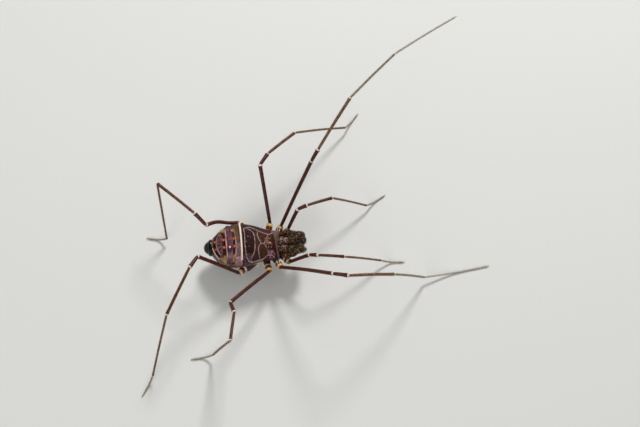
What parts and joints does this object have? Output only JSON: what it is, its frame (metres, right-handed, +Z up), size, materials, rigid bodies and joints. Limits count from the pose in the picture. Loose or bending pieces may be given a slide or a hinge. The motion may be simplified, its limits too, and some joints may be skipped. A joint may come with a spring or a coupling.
{
  "type": "harvestman",
  "caption": "Life-size still model of a harvestman with long jointed legs and a banded body, standing with one leg raised.",
  "frame": {"origin": "on the ground, below the middle of the whole animal's box", "axes": "+X towards the head, +Y to the animal's left, +Z up"},
  "size_m": [0.041, 0.0368, 0.0253],
  "materials": {
    "chocolate_cuticle": "dark chocolate cuticle, faintly granular, satin",
    "maroon_tergite": "grey-lilac and maroon plates, satin",
    "black_cuticle": "near-black cuticle, glossy",
    "eye_lens": "black, polished",
    "coxa_cuticle": "dark brown cuticle, satin",
    "femur_cuticle": "dark maroon-brown cuticle, satin",
    "patella_cuticle": "purple-brown cuticle, satin",
    "tibia_cuticle": "brown cuticle, satin",
    "metatarsus_cuticle": "speckled grey-brown cuticle, satin",
    "tarsus_cuticle": "pale grey cuticle, matt"
  },
  "bodies": {
    "root": {"scutum": "chocolate_cuticle", "abdomen": "maroon_tergite", "anal_operculum": "black_cuticle", "eye_left": "eye_lens", "eye_right": "eye_lens", "eye_mound": "chocolate_cuticle", "chelicera_left": "black_cuticle", "pedipalp_left": "black_cuticle", "chelicera_right": "black_cuticle", "pedipalp_right": "black_cuticle", "leg_left_1_coxa": "coxa_cuticle", "leg_left_2_coxa": "coxa_cuticle", "leg_left_3_coxa": "coxa_cuticle", "leg_left_4_coxa": "coxa_cuticle", "leg_left_1_femur": "femur_cuticle", "leg_left_1_patella": "patella_cuticle", "leg_left_1_tibia": "tibia_cuticle", "leg_left_1_metatarsus": "metatarsus_cuticle", "leg_left_1_tarsus": "tarsus_cuticle", "leg_left_2_femur": "femur_cuticle", "leg_left_2_patella": "patella_cuticle", "leg_left_2_tibia": "tibia_cuticle", "leg_left_2_metatarsus": "metatarsus_cuticle", "leg_left_2_tarsus": "tarsus_cuticle", "leg_left_3_femur": "femur_cuticle", "leg_left_3_patella": "patella_cuticle", "leg_left_3_tibia": "tibia_cuticle", "leg_left_3_metatarsus": "metatarsus_cuticle", "leg_left_3_tarsus": "tarsus_cuticle", "leg_left_4_femur": "femur_cuticle", "leg_left_4_patella": "patella_cuticle", "leg_left_4_tibia": "tibia_cuticle", "leg_left_4_metatarsus": "metatarsus_cuticle", "leg_left_4_tarsus": "tarsus_cuticle", "leg_right_1_coxa": "coxa_cuticle", "leg_right_2_coxa": "coxa_cuticle", "leg_right_3_coxa": "coxa_cuticle", "leg_right_4_coxa": "coxa_cuticle", "leg_right_1_femur": "femur_cuticle", "leg_right_1_patella": "patella_cuticle", "leg_right_1_tibia": "tibia_cuticle", "leg_right_1_metatarsus": "metatarsus_cuticle", "leg_right_1_tarsus": "tarsus_cuticle", "leg_right_2_femur": "femur_cuticle", "leg_right_2_patella": "patella_cuticle", "leg_right_2_tibia": "tibia_cuticle", "leg_right_2_metatarsus": "metatarsus_cuticle", "leg_right_2_tarsus": "tarsus_cuticle", "leg_right_3_femur": "femur_cuticle", "leg_right_3_patella": "patella_cuticle", "leg_right_3_tibia": "tibia_cuticle", "leg_right_3_metatarsus": "metatarsus_cuticle", "leg_right_3_tarsus": "tarsus_cuticle", "leg_right_4_femur": "femur_cuticle", "leg_right_4_patella": "patella_cuticle", "leg_right_4_tibia": "tibia_cuticle", "leg_right_4_metatarsus": "metatarsus_cuticle", "leg_right_4_tarsus": "tarsus_cuticle"}
  },
  "joints": []
}
